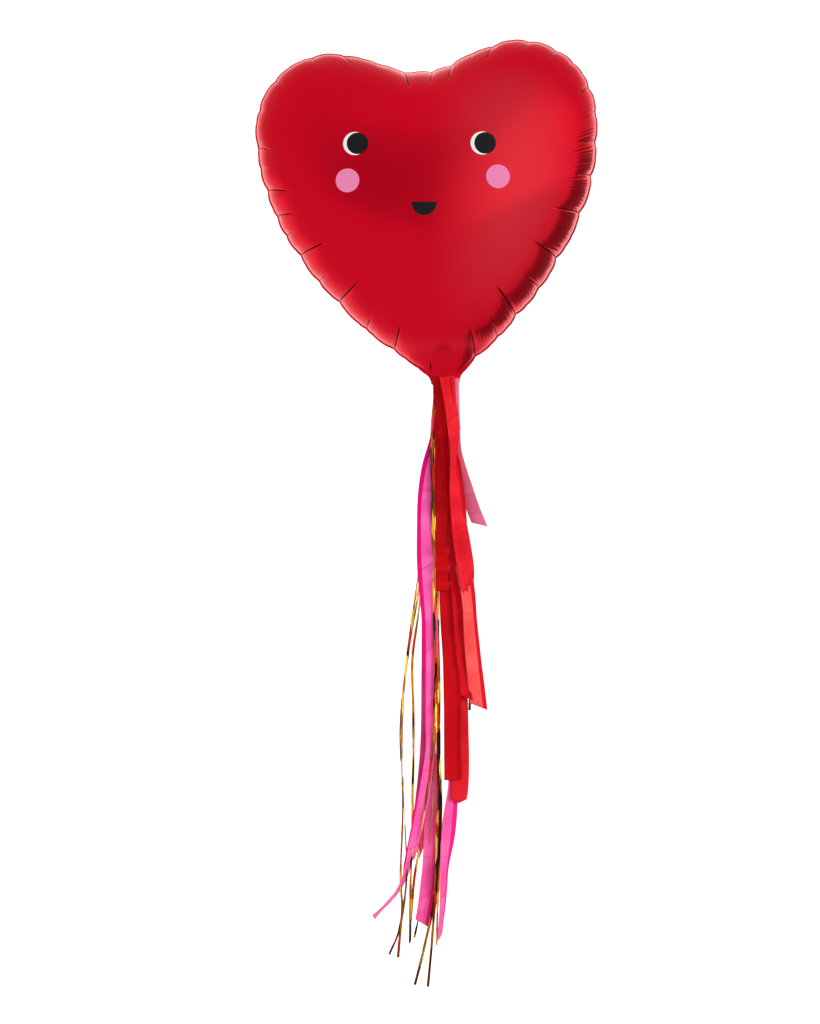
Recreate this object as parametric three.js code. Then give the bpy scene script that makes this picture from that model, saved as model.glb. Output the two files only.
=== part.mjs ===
// A heart-shaped foil balloon held by its neck, with a tail of tissue and foil strips. Units are millimetres.
// X runs across the heart, the decorated front looks along -Y, and Z is up. The origin is where the neck is held,
// at the root of the neck. The balloon tips a little to one side and its tail hangs plumb.
import * as THREE from 'three';

// Outline of the foil, one half, from the neck up to the notch. Each arc is a radius and the turn it makes.
const NECK_HALF_WIDTH = 13;
const NECK_LENGTH = 52;
const NECK_TOP = -8;
const NECK_FILLET = { radius: 14, turn: -57, steps: 4 };
const LOWER_FLANK = { radius: 424, turn: 28.5, steps: 10 };
const UPPER_FLANK = { radius: 242, turn: 31, steps: 7 };
const LOBE = { radius: 87, turn: 105, steps: 13 };
const LOBE_CROWN = { radius: 530, turn: 5, steps: 4 };
const NOTCH_STEPS = 4;
const SEAL_MARGIN = 5;

// Envelope.
const HALF_DEPTH = 96;
const FOIL_THICKNESS = 0.5;
const PLY_GAP = 0.3;
const BALLOON_LEAN = -4.3;
const RING_FRACTIONS = [0.16, 0.32, 0.47, 0.61, 0.74, 0.85, 0.93, 0.98];
const HEART_CENTRE_Z = 190;
const NECK_TAPER = 34;

// Self-sealing valve.
const VALVE_FILM_WIDTH = 12.4;
const VALVE_FILM_THICKNESS = 0.4;
const VALVE_BOTTOM = -52;
const VALVE_TOP = 104;

// Face stickers: centre across and up from the origin as the balloon hangs, and radius.
const STICKER_THICKNESS = 0.4;
const STICKER_GAP = 0.3;
const EYE_HEIGHT = 249;
const LEFT_EYE_X = -98.5;
const RIGHT_EYE_X = 39.5;
const EYE_WHITE_RADIUS = 12.7;
const PUPIL_RADIUS = 11.7;
const PUPIL_SHIFT = 3;
const LEFT_CHEEK = { x: -106.5, z: 209 };
const RIGHT_CHEEK = { x: 56.5, z: 213 };
const CHEEK_RADIUS = 12.8;
const MOUTH_X = -23.5;
const MOUTH_HEIGHT = 185;
const MOUTH_HALF_WIDTH = 13.7;
const MOUTH_DEPTH = 14.5;

// Header flap and the pad that holds it.
const HEADER_WIDTH = 27;
const HEADER_HEIGHT = 15;
const HEADER_TOP = -5;
const HEADER_THICKNESS = 0.5;
const PAD_WIDTH = 12;
const PAD_HEIGHT = 4;
const PAD_THICKNESS = 0.5;

// Tail strips. They hang one behind another, each in a layer of its own, and the layers spread towards the ends.
const STRIP_THICKNESS = 0.3;
const STRIP_PITCH = 0.6;
const STRIP_SPREAD = 1.4;
const SPREAD_START = 70;
const STRIP_HEAD_Z = -9;
const STRIP_PIVOT_Z = -13;
const STRIP_STEPS = 14;
const TISSUE_WIDTH = 20;
const GOLD_WIDTH = 3;
const TAIL_LENGTH = 667;

const RED_FOIL = 0xc4122a;
const RED_TISSUE = 0xd21f2c;
const PINK_TISSUE = 0xee4fa6;
const GOLD_FOIL = 0xc79a35;

const group = new THREE.Group();
group.name = 'heart_foil_balloon';

function degrees(value) {
  return value * Math.PI / 180;
}

function material(color, roughness, metalness) {
  return new THREE.MeshStandardMaterial({ color, roughness, metalness });
}

// Walks a chain of tangent arcs and returns the points with their outward normals.
function walkArcs(start, heading, arcs) {
  const points = [];
  let x = start.x;
  let z = start.z;
  let angle = heading;
  for (const arc of arcs) {
    const turn = degrees(arc.turn);
    const side = Math.sign(turn);
    const centreX = x - side * arc.radius * Math.sin(angle);
    const centreZ = z + side * arc.radius * Math.cos(angle);
    for (let i = 1; i <= arc.steps; i += 1) {
      const a = angle + turn * i / arc.steps;
      points.push({
        x: centreX + side * arc.radius * Math.sin(a),
        z: centreZ - side * arc.radius * Math.cos(a),
        nx: Math.sin(a),
        nz: -Math.cos(a),
      });
    }
    angle += turn;
    x = points[points.length - 1].x;
    z = points[points.length - 1].z;
  }
  return points;
}

// The right half of the cut edge, from the top of the neck to the middle of the notch.
function halfOutline() {
  const start = { x: NECK_HALF_WIDTH, z: NECK_TOP, nx: 1, nz: 0 };
  const arcs = [NECK_FILLET, LOWER_FLANK, UPPER_FLANK, LOBE, LOBE_CROWN];
  const points = [start, ...walkArcs(start, Math.PI / 2, arcs)];
  const last = points[points.length - 1];
  const turn = LOBE_CROWN.turn;
  const notch = { radius: last.x / Math.sin(degrees(turn)), turn: -turn, steps: NOTCH_STEPS };
  const heading = degrees(180 + turn);
  return [...points, ...walkArcs(last, heading, [notch])];
}

function mirrored(point) {
  return { x: -point.x, z: point.z, nx: -point.nx, nz: point.nz };
}

// The whole edge, anticlockwise from the right side of the neck to its left side.
const half = halfOutline();
const cutEdge = [...half, ...half.slice(0, -1).reverse().map(mirrored)];
const seamEdge = cutEdge.map((p) => ({ x: p.x - SEAL_MARGIN * p.nx, z: p.z - SEAL_MARGIN * p.nz }));

// Across the neck the seam is open, so that the gas and the valve can pass.
const MASK_OUTER = NECK_HALF_WIDTH - SEAL_MARGIN;
const MASK_INNER = MASK_OUTER - 1;
const neckColumns = [-MASK_INNER, -MASK_INNER / 2, 0, MASK_INNER / 2, MASK_INNER];
const mouthOfNeck = neckColumns.map((x) => ({ x, z: NECK_TOP }));
const seamLoop = [...seamEdge, ...mouthOfNeck];

// Height of the inflated film, which tapers away where the neck holds it flat. The flat heart is treated as a taut membrane under even pressure, whose
// deflection u satisfies laplacian(u) = -1 with u = 0 on the seam. An inflated film is blunter than that
// at its edge, which the square root gives.
const MEMBRANE_ORDER = 11;

function harmonic(x, z) {
  const terms = [];
  const scale = HEART_CENTRE_Z;
  let re = 1;
  let im = 0;
  const a = (z - HEART_CENTRE_Z) / scale;
  const b = x / scale;
  for (let k = 0; k <= MEMBRANE_ORDER; k += 1) {
    terms.push(re);
    const next = re * a - im * b;
    im = re * b + im * a;
    re = next;
  }
  return terms;
}

function solveSquare(matrix, vector) {
  const n = vector.length;
  for (let i = 0; i < n; i += 1) {
    let pivot = i;
    for (let r = i + 1; r < n; r += 1) {
      if (Math.abs(matrix[r][i]) > Math.abs(matrix[pivot][i])) {
        pivot = r;
      }
    }
    [matrix[i], matrix[pivot]] = [matrix[pivot], matrix[i]];
    [vector[i], vector[pivot]] = [vector[pivot], vector[i]];
    for (let r = i + 1; r < n; r += 1) {
      const factor = matrix[r][i] / matrix[i][i];
      for (let c = i; c < n; c += 1) {
        matrix[r][c] -= factor * matrix[i][c];
      }
      vector[r] -= factor * vector[i];
    }
  }
  for (let i = n - 1; i >= 0; i -= 1) {
    for (let c = i + 1; c < n; c += 1) {
      vector[i] -= matrix[i][c] * vector[c];
    }
    vector[i] /= matrix[i][i];
  }
  return vector;
}

function spread(x, z) {
  return (x * x + (z - HEART_CENTRE_Z) ** 2) / 4;
}

function fitMembrane() {
  const size = MEMBRANE_ORDER + 1;
  const matrix = Array.from({ length: size }, () => new Array(size).fill(0));
  const vector = new Array(size).fill(0);
  for (const p of seamLoop) {
    const terms = harmonic(p.x, p.z);
    for (let i = 0; i < size; i += 1) {
      vector[i] += terms[i] * spread(p.x, p.z);
      for (let j = 0; j < size; j += 1) {
        matrix[i][j] += terms[i] * terms[j];
      }
    }
  }
  return solveSquare(matrix, vector);
}

const membrane = fitMembrane();

function deflection(x, z) {
  const terms = harmonic(x, z);
  let sum = -spread(x, z);
  for (let i = 0; i < terms.length; i += 1) {
    sum += membrane[i] * terms[i];
  }
  return sum;
}

// Where a ray from the middle of the heart through a point meets the seam, and how far along it the point is.
function seamCrossing(x, z) {
  const dx = x;
  const dz = z - HEART_CENTRE_Z;
  let best = { fraction: 0, rest: 0 };
  for (let i = 0; i < seamLoop.length; i += 1) {
    const p = seamLoop[i];
    const q = seamLoop[(i + 1) % seamLoop.length];
    const ex = q.x - p.x;
    const ez = q.z - p.z;
    const det = ex * dz - ez * dx;
    if (Math.abs(det) < 1e-9) {
      continue;
    }
    const px = p.x;
    const pz = p.z - HEART_CENTRE_Z;
    const along = (ex * pz - ez * px) / det;
    const part = (dx * pz - dz * px) / det;
    if (along > 0 && part >= -1e-9 && part <= 1 + 1e-9) {
      const rest = deflection(p.x, p.z) * (1 - part) + deflection(q.x, q.z) * part;
      best = { fraction: 1 / along, rest };
    }
  }
  return best;
}

function rawHeight(x, z) {
  const crossing = seamCrossing(x, z);
  const u = deflection(x, z) - crossing.rest * crossing.fraction ** 6;
  return Math.sqrt(Math.max(u, 0)) * THREE.MathUtils.smoothstep(z, NECK_TOP, NECK_TOP + NECK_TAPER);
}

let tallest = 0;
for (let z = 120; z <= 300; z += 4) {
  for (let x = 0; x <= 100; x += 4) {
    tallest = Math.max(tallest, rawHeight(x, z));
  }
}

// In the neck the plies stand off from each other by the two valve films between them.
function plyOffset(x, z) {
  const stand = 2 * PLY_GAP / 2 + VALVE_FILM_THICKNESS + PLY_GAP / 2;
  const across = THREE.MathUtils.clamp((MASK_OUTER - Math.abs(x)) / (MASK_OUTER - MASK_INNER), 0, 1);
  const along = 1 - THREE.MathUtils.smoothstep(z, 20, 60);
  return PLY_GAP / 2 + FOIL_THICKNESS / 2 + (stand - PLY_GAP / 2) * across * along;
}

function domeHeight(x, z) {
  return plyOffset(x, z) + HALF_DEPTH * rawHeight(x, z) / tallest;
}

// A sheet with one open surface and a thickness, closed around its edge. The sheet's triangles face -Y.
function thicken(points, triangles, thickness) {
  const normals = points.map(() => new THREE.Vector3());
  const edges = new Map();
  for (const [a, b, c] of triangles) {
    const ab = new THREE.Vector3().subVectors(points[b], points[a]);
    const ac = new THREE.Vector3().subVectors(points[c], points[a]);
    const n = ab.cross(ac).normalize();
    for (const [i, j, k] of [[a, b, c], [b, c, a], [c, a, b]]) {
      const u = new THREE.Vector3().subVectors(points[j], points[i]);
      const v = new THREE.Vector3().subVectors(points[k], points[i]);
      normals[i].addScaledVector(n, u.angleTo(v));
      edges.set(`${i}_${j}`, [i, j]);
    }
  }
  const count = points.length;
  const vertices = [];
  for (const side of [0.5, -0.5]) {
    points.forEach((p, i) => {
      const shifted = p.clone().addScaledVector(normals[i].clone().normalize(), side * thickness);
      vertices.push(shifted.x, shifted.y, shifted.z);
    });
  }
  const index = [];
  for (const [a, b, c] of triangles) {
    index.push(a, b, c, a + count, c + count, b + count);
  }
  for (const [i, j] of edges.values()) {
    if (!edges.has(`${j}_${i}`)) {
      index.push(j, i, i + count, j, i + count, j + count);
    }
  }
  const geometry = new THREE.BufferGeometry();
  geometry.setAttribute('position', new THREE.Float32BufferAttribute(vertices, 3));
  geometry.setIndex(index);
  geometry.computeVertexNormals();
  return geometry;
}

function addMesh(name, geometry, look) {
  const mesh = new THREE.Mesh(geometry, look);
  mesh.name = name;
  group.add(mesh);
}

function leanOver(geometry) {
  geometry.rotateY(degrees(BALLOON_LEAN));
  return geometry;
}

// Foil panel: rings of the dome out to the seam, the seal margin around it, then the neck ply.
function foilPanel() {
  const points = [new THREE.Vector3(0, -domeHeight(0, HEART_CENTRE_Z), HEART_CENTRE_Z)];
  const triangles = [];
  const n = seamLoop.length;
  const put = (x, y, z) => {
    points.push(new THREE.Vector3(x, y, z));
    return points.length - 1;
  };
  let inner = new Array(n).fill(0);
  for (const fraction of [...RING_FRACTIONS, 1]) {
    const ring = seamLoop.map((p) => {
      const x = p.x * fraction;
      const z = HEART_CENTRE_Z + (p.z - HEART_CENTRE_Z) * fraction;
      const y = fraction < 1 ? domeHeight(x, z) : plyOffset(x, z);
      return put(x, -y, z);
    });
    for (let i = 0; i < n; i += 1) {
      const j = (i + 1) % n;
      triangles.push([inner[i], ring[i], ring[j]]);
      if (inner[i] !== inner[j]) {
        triangles.push([inner[i], ring[j], inner[j]]);
      }
    }
    inner = ring;
  }
  const margin = cutEdge.map((p) => put(p.x, -plyOffset(p.x, p.z), p.z));
  for (let i = 0; i + 1 < cutEdge.length; i += 1) {
    triangles.push([inner[i], margin[i], margin[i + 1]], [inner[i], margin[i + 1], inner[i + 1]]);
  }
  const seams = cutEdge.length;
  let row = [margin[seams - 1], inner[seams - 1], ...inner.slice(seams), inner[0], margin[0]];
  const columns = row.map((i) => points[i].x);
  const rows = 6;
  for (let r = 1; r <= rows; r += 1) {
    const z = NECK_TOP - NECK_LENGTH * r / rows;
    const next = columns.map((x) => put(x, -plyOffset(x, z), z));
    for (let c = 0; c + 1 < columns.length; c += 1) {
      triangles.push([row[c], next[c], next[c + 1]], [row[c], next[c + 1], row[c + 1]]);
    }
    row = next;
  }
  return thicken(points, triangles, FOIL_THICKNESS);
}

const foilLook = material(RED_FOIL, 0.28, 0.9);
const frontPanel = foilPanel();
addMesh('front_foil_panel', leanOver(frontPanel), foilLook);
const backPanel = foilPanel();
backPanel.rotateZ(Math.PI);
addMesh('back_foil_panel', leanOver(backPanel), foilLook.clone());

// Valve films, flat, one on each side of the middle plane.
for (const [name, side] of [['valve_front_film', -1], ['valve_back_film', 1]]) {
  const film = new THREE.BoxGeometry(VALVE_FILM_WIDTH, VALVE_FILM_THICKNESS, VALVE_TOP - VALVE_BOTTOM);
  const y = side * (PLY_GAP / 2 + VALVE_FILM_THICKNESS / 2);
  film.translate(0, y, (VALVE_TOP + VALVE_BOTTOM) / 2);
  addMesh(name, leanOver(film), material(0xe8ecee, 0.35, 0));
}

// Stickers. Each place on the hanging balloon is turned back by the lean to find it on the upright heart.
function uprightPlace(x, z) {
  const a = degrees(BALLOON_LEAN);
  return { x: x * Math.cos(a) - z * Math.sin(a), z: x * Math.sin(a) + z * Math.cos(a) };
}

function sticker(name, rings, lift, look) {
  const step = 1;
  const points = [];
  const triangles = [];
  for (const ring of rings) {
    for (const place of ring) {
      const p = uprightPlace(place.x, place.z);
      const gx = (domeHeight(p.x + step, p.z) - domeHeight(p.x - step, p.z)) / (2 * step);
      const gz = (domeHeight(p.x, p.z + step) - domeHeight(p.x, p.z - step)) / (2 * step);
      const normal = new THREE.Vector3(-gx, -1, -gz).normalize();
      const point = new THREE.Vector3(p.x, -domeHeight(p.x, p.z), p.z);
      points.push(point.addScaledVector(normal, lift));
    }
  }
  const n = rings[1].length;
  for (let i = 0; i < n; i += 1) {
    const j = (i + 1) % n;
    triangles.push([0, 1 + i, 1 + j]);
    for (let r = 2; r < rings.length; r += 1) {
      const inner = 1 + (r - 2) * n;
      const outer = inner + n;
      triangles.push([inner + i, outer + i, outer + j], [inner + i, outer + j, inner + j]);
    }
  }
  addMesh(name, leanOver(thicken(points, triangles, STICKER_THICKNESS)), look);
}

function discRings(cx, cz, radius) {
  const sides = 28;
  const rings = [[{ x: cx, z: cz }]];
  for (const fraction of [0.5, 1]) {
    rings.push(Array.from({ length: sides }, (_, i) => {
      const a = 2 * Math.PI * i / sides;
      return { x: cx + radius * fraction * Math.cos(a), z: cz + radius * fraction * Math.sin(a) };
    }));
  }
  return rings;
}

function halfDiscRings(cx, top) {
  const outline = [];
  const sides = 16;
  for (let i = 0; i <= sides; i += 1) {
    const a = Math.PI + Math.PI * i / sides;
    outline.push({ x: cx + MOUTH_HALF_WIDTH * Math.cos(a), z: top + MOUTH_DEPTH * Math.sin(a) });
  }
  for (let i = 1; i < 8; i += 1) {
    outline.push({ x: cx + MOUTH_HALF_WIDTH * (1 - i / 4), z: top });
  }
  const middle = { x: cx, z: top - MOUTH_DEPTH * 0.42 };
  const inner = outline.map((p) => ({ x: (p.x + middle.x) / 2, z: (p.z + middle.z) / 2 }));
  return [[middle], inner, outline];
}

const surface = FOIL_THICKNESS / 2;
const FIRST_LIFT = surface + STICKER_GAP + STICKER_THICKNESS / 2;
const SECOND_LIFT = FIRST_LIFT + STICKER_THICKNESS + STICKER_GAP;
for (const [side, x] of [['left', LEFT_EYE_X], ['right', RIGHT_EYE_X]]) {
  const white = discRings(x, EYE_HEIGHT, EYE_WHITE_RADIUS);
  sticker(`${side}_eye_white`, white, FIRST_LIFT, material(0xf4f2ee, 0.4, 0));
  const pupil = discRings(x + PUPIL_SHIFT, EYE_HEIGHT, PUPIL_RADIUS);
  sticker(`${side}_eye_pupil`, pupil, SECOND_LIFT, material(0x1c1c1e, 0.4, 0));
}
for (const [side, place] of [['left', LEFT_CHEEK], ['right', RIGHT_CHEEK]]) {
  const cheek = discRings(place.x, place.z, CHEEK_RADIUS);
  sticker(`${side}_cheek`, cheek, FIRST_LIFT, material(0xf086b8, 0.4, 0));
}
sticker('mouth', halfDiscRings(MOUTH_X, MOUTH_HEIGHT), FIRST_LIFT, material(0x1c1c1e, 0.4, 0));

// Adhesive pad on the front of the neck, then the header flap in front of it.
const neckFront = plyOffset(0, NECK_TOP) + FOIL_THICKNESS / 2;
const padY = neckFront + PLY_GAP + PAD_THICKNESS / 2;
const pad = new THREE.BoxGeometry(PAD_WIDTH, PAD_THICKNESS, PAD_HEIGHT);
pad.translate(0, -padY, NECK_TOP - 1 - PAD_HEIGHT / 2);
addMesh('header_adhesive', leanOver(pad), material(0xf0efe9, 0.6, 0));

const padFront = padY + PAD_THICKNESS / 2;
const headerY = padFront + PLY_GAP + HEADER_THICKNESS / 2;
const header = new THREE.BoxGeometry(HEADER_WIDTH, HEADER_THICKNESS, HEADER_HEIGHT);
header.translate(0, -headerY, HEADER_TOP - HEADER_HEIGHT / 2);
addMesh('tail_header', header, material(0xf6f3ec, 0.8, 0));

// The strips, from the one glued next to the flap to the one in front. Each has its width, the place across the
// tail of its head, its middle and its lower end, and its length as a share of the whole tail.
const STRIPS = [
  ['pink_streamer_5', TISSUE_WIDTH, -4, -16, -56, 0.885],
  ['gold_strip_3', GOLD_WIDTH, -9, -22, -62, 0.946],
  ['gold_strip_1', GOLD_WIDTH, -11, -42, -52, 0.955],
  ['pink_streamer_6', TISSUE_WIDTH, -1, -9, -26, 0.78],
  ['pink_streamer_3', TISSUE_WIDTH, -2, -4, -27, 0.9],
  ['pink_streamer_4', TISSUE_WIDTH, 1, 7, -4, 0.922],
  ['gold_strip_2', GOLD_WIDTH, -9, -34, -37, 0.927],
  ['gold_strip_4', GOLD_WIDTH, -8, -15, -34, 0.92],
  ['gold_strip_8', GOLD_WIDTH, -4, -6, -21, 0.95],
  ['gold_strip_5', GOLD_WIDTH, -7, -8, -33, 0.994],
  ['gold_strip_6', GOLD_WIDTH, -2, -4, -19, 1],
  ['gold_strip_9', GOLD_WIDTH, -11, -9, -10, 0.93],
  ['gold_strip_7', GOLD_WIDTH, 9, 16, 28, 0.546],
  ['pink_streamer_2', TISSUE_WIDTH, 4.5, 11, 36, 0.24],
  ['red_streamer_5', TISSUE_WIDTH, 2, 12, 15, 0.697],
  ['red_streamer_6', TISSUE_WIDTH, 3, 11, 21, 0.525],
  ['red_streamer_4', TISSUE_WIDTH, 4, 16, 35, 0.537],
  ['pink_streamer_1', TISSUE_WIDTH, -4.5, -22, -43, 0.8],
  ['red_streamer_1', TISSUE_WIDTH, -4, -1, 8, 0.657],
  ['red_streamer_3', TISSUE_WIDTH, 3, 8, 23, 0.336],
  ['red_streamer_2', TISSUE_WIDTH, -3, -2, -1, 0.345],
];
const STRIP_LOOKS = {
  red: [RED_TISSUE, 0.75, 0],
  pink: [PINK_TISSUE, 0.75, 0],
  gold: [GOLD_FOIL, 0.2, 1],
};

// A layer's depth depends only on the distance from where the strips turn, so strips that sway never meet.
const headerFront = headerY + HEADER_THICKNESS / 2;
const middleLayer = (STRIPS.length - 1) / 2;

function layerY(layer, distance) {
  const flat = headerFront + PLY_GAP + STRIP_THICKNESS / 2 + layer * STRIP_PITCH;
  const reach = Math.max(0, distance - SPREAD_START) / (TAIL_LENGTH - SPREAD_START);
  return -(flat + (layer - middleLayer) * STRIP_SPREAD * reach ** 2);
}

STRIPS.forEach(([name, width, head, middle, end, share], layer) => {
  const length = TAIL_LENGTH * share;
  const points = [];
  const triangles = [];
  for (let i = 0; i <= STRIP_STEPS; i += 1) {
    const t = i / STRIP_STEPS;
    const bow = middle - (head + end) / 2;
    const x = THREE.MathUtils.lerp(head, end, t) + bow * 4 * t * (1 - t);
    const z = STRIP_HEAD_Z - length * t;
    for (const side of [-0.5, 0.5]) {
      const edge = x + side * width;
      const distance = Math.hypot(edge, z - STRIP_PIVOT_Z);
      points.push(new THREE.Vector3(edge, layerY(layer, distance), z));
    }
    if (i > 0) {
      const k = 2 * i;
      triangles.push([k - 2, k, k + 1], [k - 2, k + 1, k - 1]);
    }
  }
  const look = STRIP_LOOKS[name.split('_')[0]];
  addMesh(name, thicken(points, triangles, STRIP_THICKNESS), material(...look));
});

export default group;
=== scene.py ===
import math
import bpy
import numpy as np
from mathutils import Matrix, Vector
from mathutils.bvhtree import BVHTree


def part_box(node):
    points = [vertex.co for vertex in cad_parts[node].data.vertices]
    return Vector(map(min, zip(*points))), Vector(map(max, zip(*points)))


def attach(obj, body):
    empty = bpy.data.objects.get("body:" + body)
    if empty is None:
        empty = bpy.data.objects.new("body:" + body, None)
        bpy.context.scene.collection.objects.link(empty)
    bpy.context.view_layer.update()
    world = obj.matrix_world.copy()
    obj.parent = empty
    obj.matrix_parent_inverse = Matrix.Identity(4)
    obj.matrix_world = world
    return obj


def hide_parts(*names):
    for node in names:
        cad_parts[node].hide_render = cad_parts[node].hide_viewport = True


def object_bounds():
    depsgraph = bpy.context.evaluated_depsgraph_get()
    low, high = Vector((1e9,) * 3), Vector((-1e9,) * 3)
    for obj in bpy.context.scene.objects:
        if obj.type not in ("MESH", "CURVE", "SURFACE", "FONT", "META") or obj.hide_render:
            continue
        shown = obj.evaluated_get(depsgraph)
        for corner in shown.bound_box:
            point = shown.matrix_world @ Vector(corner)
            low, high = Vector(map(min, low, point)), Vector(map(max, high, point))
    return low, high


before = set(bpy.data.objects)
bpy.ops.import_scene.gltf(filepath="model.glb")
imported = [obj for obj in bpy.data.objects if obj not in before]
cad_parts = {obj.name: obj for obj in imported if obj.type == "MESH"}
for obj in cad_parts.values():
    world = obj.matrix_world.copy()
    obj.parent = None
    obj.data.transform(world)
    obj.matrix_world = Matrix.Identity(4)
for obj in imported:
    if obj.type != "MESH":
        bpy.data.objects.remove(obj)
cad_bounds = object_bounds()

# ---------------------------------------------------------------------------------------------------------
# Foil envelope. Two hearts cut from metallised film and heat-sealed round the edge, blown up until taut.
# The film can't stretch, so the seam draws in: it puckers into cushions with a sharp crease between each
# pair, and fine ripples run in from it. The neck is the flat tab at the tip.
MM = 0.001
LEAN = math.radians(-4.3)
HEART_CENTRE = 190.0
NECK_TOP = -8.0
NECK_HALF = 13.0
NECK_JOIN = 60.0
NECK_COLUMNS = 24
TAB_TOP, TAB_END = -4.0, -60.0
SEAL_MARGIN = 5.0
SEAL_FOLD = math.radians(86)
SEAM_INSET = 2.0
FOIL_GAP = 0.05
HARMONICS = 11
COLUMNS = 1500
LOW_COLUMNS = 300
# The cut edge of the right half from the neck to the notch, as arcs of radius and turn in degrees. A last
# arc, worked out, meets the middle line square on.
ARCS = [(14, -57), (424, 28.5), (242, 31), (87, 105), (530, 5)]
# Creases: distance along the seam from the neck as a share of the half seam, side (1 right, -1 left),
# length in from the seam, depth.
CREASES = [
    (0.060, 1, 30, 4.0), (0.115, 1, 16, 2.4), (0.169, 1, 44, 5.0), (0.235, 1, 18, 2.6),
    (0.300, 1, 36, 5.0), (0.395, 1, 32, 4.6), (0.469, 1, 18, 3.8), (0.535, 1, 22, 3.2),
    (0.590, 1, 9, 1.8), (0.638, 1, 18, 2.8), (0.695, 1, 9, 1.5), (0.736, 1, 16, 2.6),
    (0.792, 1, 15, 2.6), (0.862, 1, 22, 3.2), (0.900, 1, 9, 1.2), (0.948, 1, 26, 3.4),
    (0.983, 1, 24, 3.2),
    (0.018, -1, 14, 2.2), (0.100, -1, 30, 3.4), (0.165, -1, 14, 2.2), (0.236, -1, 37, 4.6),
    (0.290, -1, 12, 2.0), (0.349, -1, 33, 4.2), (0.395, -1, 10, 1.6), (0.435, -1, 24, 3.2),
    (0.486, -1, 28, 3.8), (0.530, -1, 9, 1.5), (0.568, -1, 16, 2.6), (0.640, -1, 10, 1.5),
    (0.705, -1, 12, 1.8), (0.789, -1, 14, 2.4), (0.852, -1, 16, 2.8), (0.915, -1, 9, 1.4),
    (0.969, -1, 26, 3.8),
]
# A crease deeper than TUCKED also has a sharp tuck, darker than the film round it in painted shade.
TUCKED = 1.5
TUCK_HALF = 0.7
TUCK_SHADE = 0.8
RIPPLES = 14


def half_edge(step):
    """Points of the right half of the cut edge with their outward normals, in millimetres."""
    arcs = list(ARCS)
    x, z, heading = NECK_HALF, NECK_TOP, math.pi / 2
    points = [(x, z, 1.0, 0.0)]
    while arcs:
        radius, turn = arcs.pop(0)
        turn = math.radians(turn)
        side = math.copysign(1, turn)
        cx = x - side * radius * math.sin(heading)
        cz = z + side * radius * math.cos(heading)
        count = max(3, round(abs(turn) * radius / step))
        for i in range(1, count + 1):
            a = heading + turn * i / count
            reach = side * radius
            points.append((cx + reach * math.sin(a), cz - reach * math.cos(a), math.sin(a), -math.cos(a)))
        heading += turn
        x, z = points[-1][:2]
        if not arcs and heading > math.pi:
            arcs.append((x / math.sin(heading - math.pi), 180 - math.degrees(heading)))
    return np.array(points)


half = half_edge(step=0.4)
mirror = half[:-1][::-1] * np.array([-1, 1, -1, 1])
edge = np.vstack([half, mirror])
edge_length = np.concatenate([[0], np.cumsum(np.hypot(*np.diff(edge[:, :2], axis=0).T))])
seam_total = edge_length[-1]
crease_at = np.array([(f if s > 0 else 2 - f) * seam_total / 2 for f, s, _, _ in CREASES])
# The columns of points stand closer together at the creases.
trial = np.linspace(0, seam_total, 20000)
crowding = np.cumsum(1 + 2.5 * np.exp(-(np.abs(trial[:, None] - crease_at).min(axis=1) / 1.6) ** 2))
along = np.interp(np.linspace(crowding[0], crowding[-1], COLUMNS), crowding, trial)
edge = np.array([np.interp(along, edge_length, edge[:, k]) for k in range(4)]).T
seam_xz = edge[:, :2] - SEAM_INSET * edge[:, 2:]


def harmonics(x, z):
    w = ((z - HEART_CENTRE) + 1j * x) / HEART_CENTRE
    return np.stack([(w ** k).real for k in range(HARMONICS + 1)], -1)


def bulk(x, z):
    return (x * x + (z - HEART_CENTRE) ** 2) / 4


neck_gap = NECK_HALF - SEAM_INSET
across_neck = np.linspace(-neck_gap, neck_gap, NECK_COLUMNS + 2)[1:-1]
chord = np.stack([across_neck, np.full(NECK_COLUMNS, NECK_TOP)], -1)
loop_xz = np.vstack([seam_xz, chord])
outward = np.vstack([edge[:, 2:], np.tile([0.0, -1.0], (NECK_COLUMNS, 1))])
TURN = len(loop_xz)
along = np.concatenate([along, np.linspace(seam_total, seam_total + 2 * neck_gap, NECK_COLUMNS + 2)[1:-1]])
# A membrane blown up over this seam: the harmonics that cancel the even load's bulge all round it.
fit_xz = np.vstack([seam_xz[::6], chord])
membrane = np.linalg.lstsq(harmonics(*fit_xz.T), bulk(*fit_xz.T), rcond=None)[0]


def deflection(x, z):
    return harmonics(x, z) @ membrane - bulk(x, z)


def smooth(x, low, high):
    t = np.clip((x - low) / (high - low), 0, 1)
    return t * t * (3 - 2 * t)


join_height = math.sqrt(deflection(0.0, NECK_JOIN))
join_slope = math.sqrt(deflection(0.0, NECK_JOIN + 1)) - join_height


def dome(x, z, residue, share):
    """Height of the inflated film before it puckers. residue is what the fit leaves on the seam there. Low
    down, the film narrows from this dome into the flat neck, with an oval section that fills the seam."""
    full = np.sqrt(np.maximum(deflection(x, z) - residue * share ** 6, 0))
    t = np.clip((z - NECK_TOP) / (NECK_JOIN - NECK_TOP), 0, 1)
    middle = (join_height * (3 - 2 * t) - join_slope * (1 - t) * (NECK_JOIN - NECK_TOP)) * t * t
    half_width = np.interp(z, seam_xz[:LOW_COLUMNS, 1], seam_xz[:LOW_COLUMNS, 0])
    oval = middle * np.sqrt(np.clip(1 - (x / half_width) ** 2, 0, 1))
    mix = smooth(z, 0.4 * NECK_JOIN, NECK_JOIN)
    return full * mix + oval * (1 - mix)


front_low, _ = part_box("front_foil_panel")
half_depth = -front_low.y / MM - 1.0
residue = deflection(*loop_xz.T) * smooth(loop_xz[:, 1], 10, 40)
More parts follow.
